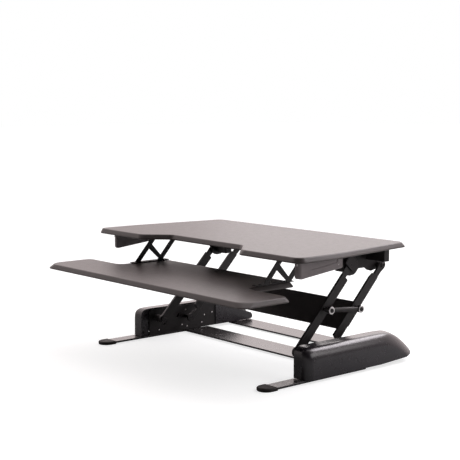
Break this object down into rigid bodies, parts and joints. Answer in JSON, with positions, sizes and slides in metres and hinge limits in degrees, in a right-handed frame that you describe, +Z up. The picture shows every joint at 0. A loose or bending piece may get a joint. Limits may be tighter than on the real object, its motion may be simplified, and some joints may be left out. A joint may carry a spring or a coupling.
{
  "type": "standing desk converter",
  "caption": "Two-tier standing desk converter: curved desktop over a T-shaped keyboard tray, raised on folding parallelogram arms above two shrouded base rails.",
  "frame": {"origin": "centre of the bounding box's footprint, on the surface the converter stands on, in the pose of the picture", "axes": "+X to the viewer's right along the desktop's long side, +Y from the keyboard tray to the back, +Z up"},
  "size_m": [0.915, 0.747, 0.3545],
  "materials": {
    "laminate": "satin",
    "powder_coat": "satin",
    "shell_plastic": "satin",
    "grey_plastic": "matte",
    "black_plastic": "matte",
    "rubber": "matte",
    "zinc_steel": "brushed",
    "black_oxide": "satin"
  },
  "bodies": {
    "base": {"foot_bar_right": "powder_coat", "foot_bar_left": "powder_coat", "foot_cap_right": "rubber", "foot_cap_left": "rubber", "rear_foot_pad_right": "rubber", "rear_foot_pad_left": "rubber", "front_crossbar": "powder_coat", "rear_crossbar": "powder_coat", "inner_plate_right": "powder_coat", "inner_plate_left": "powder_coat", "shroud_right": "shell_plastic", "shroud_left": "shell_plastic", "rear_cover_right": "shell_plastic", "rear_cover_left": "shell_plastic", "lower_front_pin_right": "zinc_steel", "lower_front_pin_left": "zinc_steel", "lower_rear_pin_right": "zinc_steel", "lower_rear_pin_left": "zinc_steel", "lift_spring_right": "zinc_steel", "lift_spring_left": "zinc_steel"},
    "front_arms": {"front_arm_right": "powder_coat", "front_arm_left": "powder_coat", "notched_sector_right": "black_oxide", "notched_sector_left": "black_oxide", "link_bolt_front_right": "black_oxide", "link_bolt_front_left": "black_oxide"},
    "rear_arms": {"rear_arm_right": "powder_coat", "rear_arm_left": "powder_coat", "link_bolt_rear_right": "black_oxide", "link_bolt_rear_left": "black_oxide", "cross_panel": "powder_coat"},
    "link_rods": {"link_rod_right": "powder_coat", "link_rod_left": "powder_coat"},
    "platform": {"desktop": "laminate", "keyboard_tray": "laminate", "rear_beam": "powder_coat", "tray_truss_right": "powder_coat", "tray_truss_left": "powder_coat", "upper_bracket_right": "powder_coat", "upper_bracket_left": "powder_coat", "latch_box_right": "powder_coat", "latch_box_left": "powder_coat", "upper_front_pin_right": "zinc_steel", "upper_front_pin_left": "zinc_steel", "upper_rear_pin_right": "black_oxide", "upper_rear_pin_left": "black_oxide", "pawl_pin_right": "zinc_steel", "pawl_pin_left": "zinc_steel", "handle_housing_right": "grey_plastic", "handle_housing_left": "grey_plastic", "lever_pin_right": "zinc_steel", "lever_pin_left": "zinc_steel", "release_cable_right": "black_plastic", "release_cable_left": "black_plastic"},
    "lever_right": {"release_lever_right": "black_plastic"},
    "lever_left": {"release_lever_left": "black_plastic"},
    "pawl_right": {"latch_pawl_right": "black_oxide"},
    "pawl_left": {"latch_pawl_left": "black_oxide"}
  },
  "joints": [
    {"name": "lift", "type": "hinge", "parent": "base", "child": "front_arms", "pos_m": [0, -0.0445, 0.065], "axis": [1, 0, 0], "range_deg": [-47.35, 42.15]},
    {"name": "rear_arm_hinge", "type": "hinge", "parent": "base", "child": "rear_arms", "pos_m": [0, 0.0769, 0.0544], "axis": [1, 0, 0], "range_deg": [-47.36, 42.16]},
    {"name": "platform_hinge", "type": "hinge", "parent": "front_arms", "child": "platform", "pos_m": [0, 0.17143, 0.28743], "axis": [1, 0, 0], "range_deg": [-42.16, 47.36]},
    {"name": "link_rod_hinge", "type": "hinge", "parent": "front_arms", "child": "link_rods", "pos_m": [0, 0.05998, 0.17263], "axis": [1, 0, 0], "range_deg": [-42.16, 47.36]},
    {"name": "lever_right_squeeze", "type": "hinge", "parent": "platform", "child": "lever_right", "pos_m": [0.413, -0.0015, 0.3185], "axis": [-1, 0, 0], "range_deg": [0, 7], "stiffness_Nm_per_rad": 2, "springref_deg": -20.05},
    {"name": "pawl_right_hinge", "type": "hinge", "parent": "platform", "child": "pawl_right", "pos_m": [0.306, 0.1385, 0.3245], "axis": [1, 0, 0], "range_deg": [-0.01, 9.81]},
    {"name": "lever_left_squeeze", "type": "hinge", "parent": "platform", "child": "lever_left", "pos_m": [-0.413, -0.0015, 0.3185], "axis": [-1, 0, 0], "range_deg": [0, 7], "stiffness_Nm_per_rad": 2, "springref_deg": -20.05},
    {"name": "pawl_left_hinge", "type": "hinge", "parent": "platform", "child": "pawl_left", "pos_m": [-0.306, 0.1385, 0.3245], "axis": [1, 0, 0], "range_deg": [-0.01, 9.81]}
  ],
  "couplings": [
    {"joint": "rear_arm_hinge", "follows": "lift", "ratio": 1},
    {"joint": "platform_hinge", "follows": "lift", "ratio": -1},
    {"joint": "link_rod_hinge", "follows": "lift", "ratio": -1},
    {"joint": "pawl_right_hinge", "follows": "lever_right_squeeze", "ratio": 1.4},
    {"joint": "pawl_left_hinge", "follows": "lever_left_squeeze", "ratio": 1.4}
  ]
}
